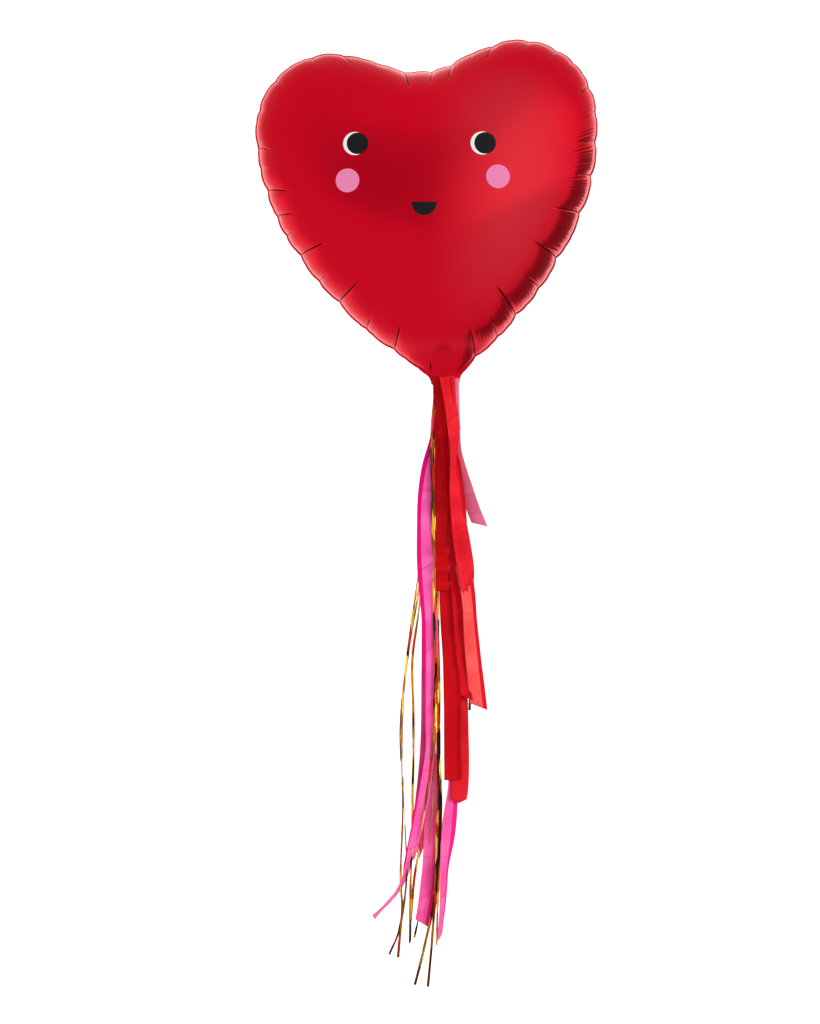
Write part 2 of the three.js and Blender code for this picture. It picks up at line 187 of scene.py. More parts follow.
# Rows of points run from the middle of the heart out to the seam, closer together near it.
centre_xz = np.array([0.0, HEART_CENTRE])
rows = np.concatenate([np.linspace(0, 0.6, 13)[:-1], 0.6 + 0.4 * (1 - (1 - np.linspace(0, 1, 52)) ** 1.7)])
grid = centre_xz + rows[:, None, None] * (loop_xz - centre_xz)
heights = dome(grid[..., 0], grid[..., 1], residue[None], rows[:, None])
heights[-1] = 0
heights *= half_depth / heights.max()


def eased(knots, t):
    """The values of the knots at the places t, eased from each knot to the next."""
    i = t.astype(int)
    f = t - i
    f = f * f * (3 - 2 * f)
    return knots[i] * (1 - f) + knots[i + 1] * f


def wander(period, seed):
    """A smooth random line along the seam, between about -1 and 1."""
    count = max(4, int(seam_total / period))
    knots = np.random.default_rng(seed).uniform(-1, 1, count + 3)
    return eased(knots, along / along[-1] * count)


half_seam = seam_total / 2
main = [(at, length, depth) for at, (_, _, length, depth) in zip(crease_at, CREASES)]
small = []
rng = np.random.default_rng(11)
at = 14.0
while at < seam_total - 10:
    small.append((at, rng.uniform(4, 10), rng.uniform(0.4, 1.3)))
    at += rng.uniform(13, 25)


def pucker(inward, side_seed):
    """How far the film stands in, and its tucks' painted shade, for a distance in from the seam in
    millimetres.
    """
    draw = np.random.default_rng(side_seed)
    out = np.zeros((len(inward), TURN))
    shade_in_tucks = np.zeros((len(inward), TURN))
    for at, length, depth in main + small:
        slant = draw.uniform(-0.10, 0.10)
        away = np.abs(along[None] - at - slant * inward)
        width = (3.0 + 1.3 * depth) * (1 - 0.45 * np.clip(inward / length, 0, 1))
        fade = np.exp(-(inward / (0.62 * length)) ** 2.0)
        out += 0.8 * depth * np.exp(-away / width) * fade
        if depth > TUCKED:
            tuck = smooth(inward, 0.3, 2) * (1 - smooth(inward, 0.6 * length, 1.05 * length))
            out += (0.5 + 0.30 * depth) * np.exp(-(away / TUCK_HALF) ** 2) * tuck
            # The mask for the painted shade along the tuck.
            shade_in_tucks += np.exp(-(away / (TUCK_HALF + 0.1)) ** 2) * tuck
    # Fine ripples run in from the seam, furthest on the lower right and beside the notch.
    ripple = np.zeros(TURN)
    for k in range(RIPPLES):
        period = draw.uniform(3.2, 6.5)
        phase = draw.uniform(0, 6.28) + 2.5 * wander(60, side_seed + k)
        ripple += np.sin(2 * math.pi * along / period + phase)
    right_lower = smooth(along, 20, 70) * (1 - smooth(along, 330, 430))
    notch = np.exp(-((along - half_seam) / 60) ** 2)
    strength = 0.022 * (0.7 + 0.6 * wander(45, side_seed + 50)) + 0.06 * right_lower + 0.03 * notch
    reach = 12 + 7 * wander(35, side_seed + 60) + 13 * right_lower + 6 * notch
    out += ripple * strength * np.exp(-(inward / np.maximum(reach, 5)) ** 2) * smooth(inward, 0, 1.5)
    return out, np.clip(shade_in_tucks, 0, 1)


def from_seam(points):
    """How far each point of the rows is from the seam, along its own column."""
    step = np.linalg.norm(np.diff(points, axis=0), axis=-1)
    return np.concatenate([np.cumsum(step[::-1], axis=0)[::-1], np.zeros((1, TURN))])


def quads(lines, columns, start=0, closed=False):
    """The faces of a grid of points. closed joins its last column to its first."""
    r, c = np.meshgrid(np.arange(lines - 1), np.arange(columns if closed else columns - 1), indexing="ij")
    a = (start + r * columns + c).ravel()
    b = (start + r * columns + (c + 1) % columns).ravel()
    return np.stack([a, a + columns, b + columns, b], -1)


def add_object(name, vertices, faces, flat=False):
    mesh = bpy.data.meshes.new(name)
    mesh.from_pydata(vertices, [], faces, shade_flat=flat)
    obj = bpy.data.objects.new(name, mesh)
    bpy.context.collection.objects.link(obj)
    return obj


def foil_mesh(name, side, seed):
    """side is -1 for the front panel and 1 for the back one."""
    flat = np.stack([grid[..., 0], side * heights, grid[..., 1]], -1)
    down = np.gradient(flat, axis=0)
    across = (np.roll(flat, -1, 1) - np.roll(flat, 1, 1)) / 2
    normal = np.cross(down, across) * -side
    normal /= np.maximum(np.linalg.norm(normal, axis=-1, keepdims=True), 1e-9)
    rim = np.stack([outward[:, 0], np.zeros(TURN), outward[:, 1]], -1)
    mix = np.clip(from_seam(flat) / 4, 0, 1)[..., None]
    normal = normal * mix + rim[None] * (1 - mix)
    above_neck = smooth(grid[..., 1], NECK_TOP, 25)
    planar = from_seam(grid)
    depth, shade_in_tucks = pucker(planar, seed)
    depth = depth * np.clip(rows[:, None] / 0.5, 0, 1) ** 2 * above_neck
    body = flat - normal * depth[..., None]
    rim_dip = pucker(planar[-1:], 100)[0][0] * above_neck[-1]
    body[-1] = flat[-1] - rim * rim_dip[:, None]
    # The welded margin outside the seam stands back, and flutters a little.
    flutter = wander(14, 5) * above_neck[-1]
    margin = []
    for share in (0.2, 0.45, 0.7, 1.0):
        bend = share * SEAL_FOLD * above_neck[-1]
        out = SEAL_MARGIN * share * np.cos(bend) - rim_dip
        point = np.stack([loop_xz[:, 0], np.zeros(TURN), loop_xz[:, 1]], -1) + rim * out[:, None]
        point[:, 1] = side * FOIL_GAP + SEAL_MARGIN * share * (np.sin(bend) + 0.25 * flutter)
        margin.append(point)
    points = np.concatenate([body, np.array(margin)])
    # The tab below it lies nearly flat, with a low swelling down its middle where the valve lies.
    lines, columns = 40, 13
    x = np.linspace(-NECK_HALF, NECK_HALF, columns)[None]
    z = np.linspace(TAB_TOP, TAB_END, lines)[:, None]
    lift = 0.2 + 1.0 * np.clip(1.3 - np.abs(x) / 8, 0, 1) + 0.3 * np.sin(z / 5 + side) * np.cos(x / 4 + z / 9)
    tab = np.stack([x + 0 * z, side * lift, z + 0 * x], -1)
    vertices = np.concatenate([points.reshape(-1, 3), tab.reshape(-1, 3)])
    faces = quads(len(points), TURN, closed=True)
    faces = np.concatenate([faces, quads(lines, columns, start=points.size // 3)])
    if side > 0:
        faces = faces[:, ::-1]
    turned = vertices.copy()
    turned[:, 0] = vertices[:, 0] * math.cos(LEAN) + vertices[:, 2] * math.sin(LEAN)
    turned[:, 2] = vertices[:, 2] * math.cos(LEAN) - vertices[:, 0] * math.sin(LEAN)
    obj = add_object(name, (turned * MM).tolist(), faces.tolist())
    # The mask goes on the mesh, for the painted shade in the tucks.
    tucked = np.zeros(len(vertices))
    tucked[:shade_in_tucks.size] = shade_in_tucks.ravel()
    obj.data.attributes.new("shade_in_tucks", "FLOAT", "POINT").data.foreach_set("value", tucked)
    return obj


class S:
    """A shader socket, with the arithmetic that the materials use."""

    def __init__(self, tree, socket):
        self.tree = tree
        self.socket = socket

    def node(self, kind, settings=None, out=0, **inputs):
        """Output number out of a new node. Its inputs go by name, or as i and a number."""
        node = self.tree.nodes.new(kind)
        for key, value in (settings or {}).items():
            setattr(node, key, value)
        for key, value in inputs.items():
            target = node.inputs[int(key[1:]) if key[1:].isdigit() else key]
            if isinstance(value, S):
                self.tree.links.new(value.socket, target)
            else:
                target.default_value = value
        return S(self.tree, node.outputs[out])

    def math(self, operation, a, b=0.0):
        return self.node("ShaderNodeMath", {"operation": operation}, i0=a, i1=b)

    def __add__(self, other):
        return self.math("ADD", self, other)

    def __radd__(self, other):
        return self.math("ADD", other, self)

    def __sub__(self, other):
        return self.math("SUBTRACT", self, other)

    def __rsub__(self, other):
        return self.math("SUBTRACT", other, self)

    def __mul__(self, other):
        return self.math("MULTIPLY", self, other)

    def __rmul__(self, other):
        return self.math("MULTIPLY", other, self)

    def blend(self, a, b):
        """a where this is 0 and b where it is 1, for colours."""
        return self.node("ShaderNodeMix", {"data_type": "RGBA"}, out=2, i0=self, i6=a, i7=b)

    def ramp(self, low, high):
        return self.node("ShaderNodeMapRange", {"interpolation_type": "SMOOTHSTEP"}, i0=self, i1=low, i2=high)

    def axis(self, index):
        return self.node("ShaderNodeSeparateXYZ", out=index, Vector=self)

    def noise(self, scale, detail=2.0):
        return self.node("ShaderNodeTexNoise", Vector=self, Scale=scale, Detail=detail)

    def bump(self, strength, distance):
        return self.node("ShaderNodeBump", Strength=strength, Distance=distance, Height=self)


def material(name):
    """A new material: returns it, its shader and the place in the object's own coordinates."""
    made = bpy.data.materials.new(name)
    made.use_nodes = True
    shader = made.node_tree.nodes["Principled BSDF"]
    position = S(made.node_tree, None).node("ShaderNodeTexCoord", out=3)
    return made, shader, position


def feed(shader, name, value):
    if isinstance(value, S):
        value.tree.links.new(value.socket, shader.inputs[name])
    else:
        shader.inputs[name].default_value = value


foil, shader, place = material("red_foil")
cloudy = place.noise(9, 3)
fine = place.noise(420)
# Painted shade: the colour turns dark red in the tucks.
tucked = place.node("ShaderNodeAttribute", {"attribute_name": "shade_in_tucks"}, out=2)
tint = cloudy.ramp(0.35, 0.7).blend((0.62, 0.0035, 0.017, 1), (0.585, 0.003, 0.016, 1))
feed(shader, "Base Color", (tucked * TUCK_SHADE).blend(tint, (0.10, 0.0, 0.003, 1)))
feed(shader, "Metallic", 1.0)
feed(shader, "Specular Tint", (1.0, 0.78, 0.78, 1))
feed(shader, "Roughness", cloudy.ramp(0.3, 0.75) * 0.05 + 0.19)
# A soft second sheen, only on the front of the right lobe.
bulge = place.axis(0).ramp(-0.03, 0.09) * (0 - place.axis(1)).ramp(0.04, 0.085)
feed(shader, "Coat Weight", bulge * 0.55)
feed(shader, "Coat Roughness", 0.4)
feed(shader, "Normal", fine.bump(0.05, 0.0004))

panels = {}
for name, side, node in (("envelope_front", -1, "front_foil_panel"), ("envelope_back", 1, "back_foil_panel")):
    panel = foil_mesh(name, side, 100 if side < 0 else 300)
    panel.data.materials.append(foil)
    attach(panel, "balloon")
    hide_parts(node)
    panels[name] = panel

# ---------------------------------------------------------------------------------------------------------
# Valve. Two clear film plies welded along their sides lie flat in the neck and reach up into the envelope,
# where the gas presses them shut. Nothing of it shows from outside.
film, shader, place = material("valve_film")
haze = place.noise(60)
feed(shader, "Base Color", haze.blend((0.82, 0.85, 0.86, 1), (0.9, 0.92, 0.93, 1)))
feed(shader, "Roughness", haze * 0.2 + 0.25)
feed(shader, "Alpha", 0.5)
feed(shader, "Normal", haze.bump(0.1, 0.0005))
for node in ("valve_front_film", "valve_back_film"):
    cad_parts[node].data.materials.clear()
    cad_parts[node].data.materials.append(film)

# ---------------------------------------------------------------------------------------------------------
# Face stickers. Thin printed vinyl discs and a half disc, pressed on after the balloon is full, so they
# follow the film. Each black disc is stuck over a white one and a little past its edge.
STICKER = 0.12 * MM
STICKER_GAP = 0.05 * MM
front_surface = BVHTree.FromPolygons(
    [v.co[:] for v in panels["envelope_front"].data.vertices],
    [p.vertices[:] for p in panels["envelope_front"].data.polygons],
)


def sticker(name, node, layer, outline, colour):
    """outline gives the edge as (across, up) shares of the half box of the node, from its centre."""
    low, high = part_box(node)
    cx, cz = (low.x + high.x) / 2, (low.z + high.z) / 2
    wide, tall = (high.x - low.x) / 2, (high.z - low.z) / 2
    rings = [0.0, 0.35, 0.65, 0.85, 0.985, 1.0, 1.0]
    lifts = [1, 1, 1, 1, 1, 0.75, 0.0]
    vertices = []
    for share, lift in zip(rings, lifts):
        for ex, ez in outline if share else [(0, 0)]:
            x, z = cx + wide * ex * share, cz + tall * ez * share
            hit, *_ = front_surface.ray_cast(Vector((x, -1, z)), Vector((0, 1, 0)))
            vertices.append(hit - Vector((0, 1, 0)) * (STICKER_GAP + STICKER * (layer + lift)))
    n = len(outline)
    faces = [(0, 1 + i, 1 + (i + 1) % n) for i in range(n)]
    for r in range(len(rings) - 2):
        for i in range(n):
            a, b = 1 + r * n + i, 1 + r * n + (i + 1) % n
            faces.append((a, a + n, b + n, b))
    obj = add_object(name, vertices, faces)
    vinyl, shader, place = material(name + "_vinyl")
    grain = place.noise(900)
    cast = place.noise(40)
    paler = [c * 1.06 + 0.002 for c in colour]
    feed(shader, "Base Color", cast.blend((*colour, 1), (*paler, 1)))
    feed(shader, "Roughness", grain * 0.1 + 0.45)
    feed(shader, "Specular IOR Level", 0.12)
    feed(shader, "Normal", grain.bump(0.05, 0.0001))
    obj.data.materials.append(vinyl)
    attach(obj, "balloon")
    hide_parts(node)


round_edge = [(math.cos(a), math.sin(a)) for a in np.linspace(0, 2 * math.pi, 96, endpoint=False)]
smile_edge = [(math.cos(a), 1 + 2 * math.sin(a)) for a in np.linspace(math.pi, 2 * math.pi, 64)]
smile_edge += [(x, 1.0) for x in np.linspace(1, -1, 30)[1:-1]]
for side in ("left", "right"):
    sticker(side + "_eye_disc", side + "_eye_white", 0, round_edge, (0.88, 0.88, 0.86))
    sticker(side + "_pupil_disc", side + "_eye_pupil", 1, round_edge, (0.006, 0.006, 0.007))
    sticker(side + "_cheek_disc", side + "_cheek", 0, round_edge, (0.87, 0.24, 0.47))
sticker("mouth_disc", "mouth", 0, smile_edge, (0.006, 0.006, 0.007))

# ---------------------------------------------------------------------------------------------------------
# Header. A flap of plain white paper, held to the neck along its top edge by a double-sided foam pad. The
# heads of all the strips are glued to its front, so it hardly shows.
card, shader, place = material("header_card")
fibre = place.noise(700, 4)
feed(shader, "Base Color", fibre.blend((0.84, 0.83, 0.80, 1), (0.90, 0.89, 0.86, 1)))
feed(shader, "Roughness", fibre * 0.1 + 0.8)
feed(shader, "Normal", fibre.bump(0.3, 0.0001))
foam, shader, place = material("header_foam")
cells = place.node("ShaderNodeTexVoronoi", Vector=place, Scale=1500.0)
feed(shader, "Base Color", cells.blend((0.80, 0.80, 0.77, 1), (0.72, 0.72, 0.69, 1)))
feed(shader, "Roughness", cells * 0.1 + 0.7)
feed(shader, "Normal", cells.bump(0.4, 0.0002))
for node, look in (("tail_header", card), ("header_adhesive", foam)):
    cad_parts[node].data.materials.clear()
    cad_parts[node].data.materials.append(look)

# ---------------------------------------------------------------------------------------------------------
# Red tissue streamers. Strips about 20 mm wide cut across a folded pack of dyed tissue, so each has a faint
# line at every fold. They hang from the header, turn a little on the way down and end in a plain cut.
TISSUE_WIDTH = 20.0
TISSUE = 0.1
tail_pieces = bpy.data.collections.new("tail")


def curve(points, spacing):
    """A smooth line through the points, cut into equal steps. Each row is x, y, z and any further values."""
    p = np.array(points, float)
    p = np.vstack([2 * p[0] - p[1], p, 2 * p[-1] - p[-2]])
    t = np.linspace(0, 1, 40, endpoint=False)[:, None]
    out = []
    for a, b, c, d in zip(p, p[1:], p[2:], p[3:]):
        square = 2 * a - 5 * b + 4 * c - d
        out.append(0.5 * (2 * b + (c - a) * t + square * t ** 2 + (3 * b - a - 3 * c + d) * t ** 3))
    out = np.vstack(out + [p[-2:-1]])
    run = np.concatenate([[0], np.cumsum(np.linalg.norm(np.diff(out[:, :3], axis=0), axis=1))])
    marks = np.linspace(0, run[-1], max(8, int(run[-1] / spacing)) + 1)
    return np.array([np.interp(marks, run, out[:, k]) for k in range(out.shape[1])]).T, run[-1]


def noise_line(length, count, period, seed):
    """A smooth random line down a strip, between -1 and 1."""
    knots = np.random.default_rng(seed).uniform(-1, 1, int(length / period) + 4)
    return eased(knots, np.linspace(0, length / period, count))


def ribbon(name, points, width, seed, spacing=2.0, across=14, pleats=(), flutter=1.0, slant=0.0, point=0.0,
           thickness=TISSUE, jitter=None):
    """A strip along a path of (x, y, z, roll) in millimetres and degrees. A pleat is (place across from -1
    to 1, fold angle at the head, fold angle at the end). slant and point shape the cut end."""
    line, length = curve(points, spacing)
    count = len(line)
    centre = line[:, :3].copy()
    roll = np.radians(line[:, 3])
    s = np.linspace(0, length, count)
    free = np.clip(s / 60, 0, 1)
    centre[:, 0] += 0.8 * flutter * free * noise_line(length, count, 45, seed)
    centre[:, 1] += 0.5 * flutter * free * noise_line(length, count, 35, seed + 1)
    roll += 0.25 * flutter * free * noise_line(length, count, 50, seed + 2)
    if jitter:
        roll += free * jitter(length, count)
    tangent = np.gradient(centre, axis=0)
    tangent /= np.linalg.norm(tangent, axis=1, keepdims=True)
    side = np.cross(tangent, [0, 1, 0])
    side /= np.linalg.norm(side, axis=1, keepdims=True)
    face = np.cross(side, tangent)
    # Each step across the strip turns by the roll, a slow twist and the pleats.
    u = np.linspace(-1, 1, across + 1)
    angle = roll[:, None] + 0.35 * flutter * noise_line(length, count, 60, seed + 3)[:, None] * u[None]
    for place, start, end in pleats:
        bend = np.radians(start + (end - start) * s / length)
        bend = bend * (1 + 0.3 * noise_line(length, count, 70, seed + 6))
        angle = angle + bend[:, None] * (smooth(u[None], place - 0.12, place + 0.12) - (place < 0))
    step = width / across
    wide = np.cumsum(np.cos(angle), axis=1) * step
    deep = np.cumsum(np.sin(angle), axis=1) * step
    middle = across // 2
    wide -= wide[:, middle:middle + 1]
    deep -= deep[:, middle:middle + 1]
    swell = noise_line(length, count, 24, seed + 4)[:, None]
    phase = 3 * noise_line(length, count, 40, seed + 5)[:, None]
    deep += 0.9 * flutter * free[:, None] * swell * np.sin(2.2 * u[None] + phase)
    tip = smooth(s, length - 1.5 * width, length)[:, None]
    shift = tip * (slant * u[None] - point * np.abs(u)[None])
    mid = centre[:, None] + side[:, None] * wide[..., None] + face[:, None] * deep[..., None]
    mid = mid + tangent[:, None] * shift[..., None]
    normal = np.cross(np.gradient(mid, axis=0), np.gradient(mid, axis=1))
    normal /= np.linalg.norm(normal, axis=-1, keepdims=True)
    # Two faces, and a wall round the edge between them.
    layers = np.stack([mid + normal * thickness / 2, mid - normal * thickness / 2])
    n = across + 1
    front = quads(count, n)
    back = front[:, ::-1] + count * n
    rim = list(range(n - 1)) + [r * n + n - 1 for r in range(count - 1)]
    rim += [(count - 1) * n + i for i in range(n - 1, 0, -1)] + [r * n for r in range(count - 1, 0, -1)]
    rim = np.array(rim)
    after = np.roll(rim, -1)
    wall = np.stack([rim, after, after + count * n, rim + count * n], -1)
    faces = np.concatenate([front, back, wall])
    obj = add_object(name, (layers.reshape(-1, 3) * MM).tolist(), faces.tolist())
    # The map holds the real place on the strip: across and down, in metres.
    flat = np.stack(np.meshgrid(u * width / 2, s), -1)
    flat = np.tile(flat.reshape(-1, 2), (2, 1)) * MM
    corner = np.zeros(len(obj.data.loops), int)
    obj.data.loops.foreach_get("vertex_index", corner)
    obj.data.uv_layers.new(name="strip").data.foreach_set("uv", flat[corner].ravel())
    tail_pieces.objects.link(obj)
    # Out of reflections, or the foil over the neck would show the tail as a dark patch.
    obj.visible_glossy = False
    return obj, centre * MM, length * MM


def tissue(name, deep, light, folds, hem=None, hem_colour=None, fade=0.0):
    """folds is the number of fold lines in a metre. hem is how far from the left edge, in millimetres, a band
    takes the hem colour; a negative one is measured from the right edge. On a pink strip the band is an edge
    that lies double, deeper from the second layer and in painted shade; on the coral strip it is the plain
    red beside the painted highlight. fade lightens it downwards."""
    made, shader, place = material(name)
    strip = place.node("ShaderNodeTexCoord", out=2)
    across = strip.axis(0)
    down = strip.axis(1)
    drift = strip.noise(14)
    saw = strip.math("FRACT", down * folds + drift * 1.6 + across * 4.0)
    line = strip.math("ABSOLUTE", saw - 0.5)
    fibre = strip.noise(900, 4)
    cloud = strip.noise(30, 3)
    # Painted shade along each fold line, where the tissue was creased; the bump below dips there too.
    fold = (1 - line.ramp(0.0, 0.045)) * cloud.ramp(0.35, 0.6)
    tone = cloud.ramp(0.3, 0.7) * 0.7 + fibre * 0.3 - fold * 0.6 + down * fade
    colour = tone.blend((*deep, 1), (*light, 1))
    if hem:
        # The band: on a pink strip a doubled edge, deeper from the second layer and in painted shade; on the
        # coral strip the plain red beside the painted highlight.
        edge = (TISSUE_WIDTH / 2 - abs(hem)) * MM
        hem_band = 1 - across.ramp(-edge - 0.0004, -edge) if hem > 0 else across.ramp(edge, edge + 0.0004)
        colour = hem_band.blend(colour, (*hem_colour, 1))
    feed(shader, "Base Color", colour)
    feed(shader, "Roughness", fibre * 0.2 + 0.55)
    feed(shader, "Specular IOR Level", 0.08)
    height = cloud * 0.8 + fibre * 0.10 - fold * 0.4
    feed(shader, "Normal", height.bump(0.6, 0.0012))
    return made


def hang(dye, number, look, points, seed, **shape):
    """A tissue strip, on its own body."""
    obj, _, length = ribbon(f"{dye}_strip_{number}", points, TISSUE_WIDTH, seed, **shape)
    node = f"{dye}_streamer_{number}"
    obj.data.materials.append(look)
    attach(obj, node)
    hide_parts(node)


# Each path is a list of (x, y, z, roll), from the header down.
# Painted shade: a darker copy of the red tissue for the strips in shadow, darker still towards their heads.
red_shaded = tissue("red_tissue_painted_shade", (0.36, 0.0, 0.001), (0.54, 0.0005, 0.005), 21, fade=1.6)
red = tissue("red_tissue", (0.48, 0.0005, 0.006), (0.62, 0.002, 0.012), 19)
# Painted light: a brighter copy of the red tissue for strips that face the light.
red_lit = tissue("red_tissue_painted_light", (0.58, 0.002, 0.012), (0.76, 0.016, 0.026), 16)
# Painted highlight: a pale coral copy of the red tissue, with its right 6 mm left plain red.
red_highlighted = tissue("red_tissue_painted_highlight", (0.80, 0.05, 0.05), (0.92, 0.11, 0.10), 14, hem=-6,
               hem_colour=(0.62, 0.002, 0.012))
hang("red", 1, red_shaded, [
    (-3.6, -9, -1, 4), (-2.4, -10, -60, 4), (-0.6, -12, -127, 6), (2.2, -13, -203, 4),
    (4.5, -14, -260, 0), (7, -15, -320, -4), (8.5, -15, -381, 0), (8.8, -14.5, -447, 4),
], 20, flutter=0.6, pleats=[(0.55, -10, -30)])
hang("red", 2, red_shaded, [
    (-2.6, -12, -1, 0), (-1.8, -13, -60, 0), (-1.5, -14, -127, 0), (-1.5, -15.5, -165, 0),
    (-1.5, -15.5, -184, 0), (-1.2, -20.5, -193, 0), (-1.2, -15.5, -203, 0), (-1, -21, -213, 0),
    (-1, -15.5, -222, 0), (-0.8, -20, -231, 0), (-0.8, -17, -238, 0),
], 30, flutter=0.4, spacing=1.2, pleats=[(0.5, 130, 60)])
hang("red", 3, red_lit, [
    (1.8, -14.5, -1, 0), (4.4, -16, -28, 26), (7.1, -17.5, -54, 34), (7.6, -19, -81, 50),
    (7.4, -19, -101, 50), (9.8, -19, -121, 34), (14.2, -19, -153, 22), (19, -19.5, -190, 8),
    (23.5, -20, -220, 16), (25.5, -18, -233, 26),
], 40, flutter=0.9, slant=-6, pleats=[(-0.5, -50, -20), (0.45, 26, 14)])
hang("red", 4, red_highlighted, [
    (1, -7.2, -4, -8), (3.5, -8, -60, -12), (7, -9, -100, -6), (13, -10, -150, 4), (22, -12, -220, 16),
    (26.5, -13.5, -249, 20), (29, -14, -272, 24), (32, -14, -313, 24), (35, -14, -341, 24),
    (37.5, -13, -366, 14),
], 50, slant=5, pleats=[(0.35, 10, 22)])
hang("red", 6, red, [
    (0.5, -10, -3, 5), (2.5, -12, -50, 18), (5, -13, -90, 32), (8.5, -13.4, -125, 22),
    (13, -14, -180, 10), (15.5, -14, -237, 12), (19, -14, -290, 14), (23, -14, -325, 16),
    (26, -14, -357, 20),
], 60, slant=5, flutter=0.8, pleats=[(0.0, -60, -15), (0.5, 50, 30)])
hang("red", 5, red_lit, [
    (1, -6.4, -4, 5), (5, -7.5, -90, 6), (9, -8.5, -180, 6), (12, -10, -280, 6), (15, -10.5, -360, 8),
    (17, -10, -420, 10), (17, -9, -455, 12), (15.4, -7, -473, 20),
], 70, point=4, flutter=0.6)

# ---------------------------------------------------------------------------------------------------------
# Pink tissue streamers. Cut like the red ones from a thinner pink tissue. Some turn edge on, and one ends in
# a curl.
# Painted shade, with the deeper colour of a second layer, in the doubled left edge.
pink = tissue("pink_tissue", (0.80, 0.06, 0.32), (0.94, 0.16, 0.48), 13, hem=7, hem_colour=(0.66, 0.002, 0.16))
pink_plain = tissue("pink_tissue_plain", (0.82, 0.07, 0.32), (0.94, 0.18, 0.48), 15)
# Painted shade, with the deeper colour of a second layer, in the doubled right edge.
pink_edged = tissue("pink_tissue_edged", (0.80, 0.06, 0.28), (0.94, 0.15, 0.42), 24, hem=-6,
                    hem_colour=(0.78, 0.01, 0.20))
rose = tissue("pink_tissue_rose", (0.76, 0.09, 0.22), (0.90, 0.19, 0.33), 12)
# Painted light: a lighter copy of the rose tissue, for a strip that faces away from the light.
rose_lit = tissue("pink_tissue_rose_painted_light", (0.90, 0.15, 0.29), (0.96, 0.25, 0.40), 12)
hang("pink", 1, pink, [
    (1, -7.6, -6, 0), (-2, -8.2, -38, 4), (-6, -8.6, -60, 10), (-12, -9, -82, 18),
    (-18, -9.5, -105, 20), (-23.4, -12, -143, 10), (-23.4, -15, -190, 8), (-21, -15, -235, 6),
    (-18.4, -15, -280, 12), (-18.6, -15, -324, 30), (-19.2, -15, -383, 36), (-20.5, -15, -421, 36),
    (-29.8, -15, -481, 36), (-40.8, -15, -531, 42), (-42.5, -14, -541, 44),
], 80, slant=-7, flutter=0.6, pleats=[(-0.25, -25, -50), (0.7, 10, -30)])
hang("pink", 2, rose_lit, [
    (5.5, -4.8, -3, 0), (6, -5.4, -25, -4), (7.4, -6.6, -55, -16), (10.6, -7, -80, -40),
    (16, -7.5, -101, -44), (22.5, -8, -121, -44), (31, -8.5, -147, -42), (38, -9, -165, -40),
], 90, slant=5.5, flutter=0.2, pleats=[(-0.3, -30, 0), (0.3, -6, 0)])
hang("pink", 3, pink_edged, [
    (-1, -3.9, -5, 20), (-4, -4.5, -120, 20), (-9, -5, -250, 20), (-12, -5, -380, 24),
    (-12.5, -5, -450, 24), (-13.5, -6, -500, 24), (-16, -7, -540, 24), (-20.2, -8, -577, 22),
    (-25, -8, -606, 20),
], 100, slant=4, pleats=[(-0.4, -80, 0), (0.2, 110, 15)])
hang("pink", 4, pink_edged, [
    (2, -5.0, -5, 10), (5, -5, -120, 10), (9, -6, -250, 14), (10, -6, -380, 24), (9.5, -6, -430, 36),
    (5.2, -7, -481, 34), (2, -7, -521, 40), (-0.6, -7, -561, 44), (-4.2, -7, -600, 48),
    (-6.4, -7, -623, 50),
], 110, slant=-6, pleats=[(-0.3, -20, -20), (0.25, 10, 14)])
hang("pink", 5, pink_plain, [
    (-1, -3.4, -5, 0), (-4.5, -4, -60, 16), (-12, -4, -120, 34), (-18, -5, -250, 40),
    (-19, -6, -380, 40), (-27, -8, -465, 56), (-36, -9, -520, 66), (-43.6, -10, -552, 70),
    (-52, -12, -569, 74), (-61, -14, -580, 74), (-70, -16, -589, 76), (-79, -18, -598, 70),
], 120, flutter=0.2)
hang("pink", 6, rose, [
    (-1, -3.6, -5, 20), (-6, -4, -120, 20), (-13, -4, -250, 24), (-17, -4, -380, 24),
    (-18, -4, -440, 24), (-19.8, -4, -465, 24), (-22, -4, -500, 24), (-25, -4, -522, 24),
    (-29, -4, -534, 24),
], 130, point=10, pleats=[(0.1, 120, 60)])

# ---------------------------------------------------------------------------------------------------------
# Gold strips. Narrow ribbons of metallised film, creased at random along their length, so that each short
# stretch mirrors something else. Those reflections are painted into the colour, one patch to each cell: dark,
# brown, yellow, and the red of the tissue beside it. The lower ends go dark brown.
GOLD_WIDTH = 3.0
GOLD_FILM = 0.06
gold, shader, place = material("gold_foil")
down = place.node("ShaderNodeTexCoord", out=2).axis(1)
# Cells much longer than they are wide, so a strip crosses one after another on its way down.
cells = place.node("ShaderNodeVectorMath", {"operation": "MULTIPLY"}, i0=place, i1=(8.0, 8.0, 1.0))
facet = cells.node("ShaderNodeTexVoronoi", {"feature": "F1"}, out=1, Vector=cells, Scale=38.0)
flash = facet.node("ShaderNodeSeparateColor", Color=facet)
red_reflection_mask = facet.node("ShaderNodeSeparateColor", out=1, Color=facet)
wisp = cells.noise(120, 3)
shade = flash * 0.75 + wisp * 0.35
# Painted reflections: a dark brown to orange patch in each cell, yellow in the brightest ones.
painted_reflections = shade.ramp(0.32, 0.72).blend((0.022, 0.007, 0.003, 1), (0.48, 0.14, 0.010, 1))
painted_reflections = shade.ramp(0.66, 0.88).blend(painted_reflections, (0.95, 0.56, 0.05, 1))
# Painted reflections of the red tissue, in some of the cells.
painted_reflections = (red_reflection_mask.ramp(0.68, 0.80) * 0.9).blend(painted_reflections, (0.62, 0.035, 0.006, 1))
feed(shader, "Base Color", (down.ramp(0.60, 0.66) * 0.8).blend(painted_reflections, (0.07, 0.022, 0.006, 1)))
feed(shader, "Metallic", 1.0)
feed(shader, "Roughness", wisp * 0.14 + 0.12)
feed(shader, "Normal", wisp.bump(0.35, 0.0006))


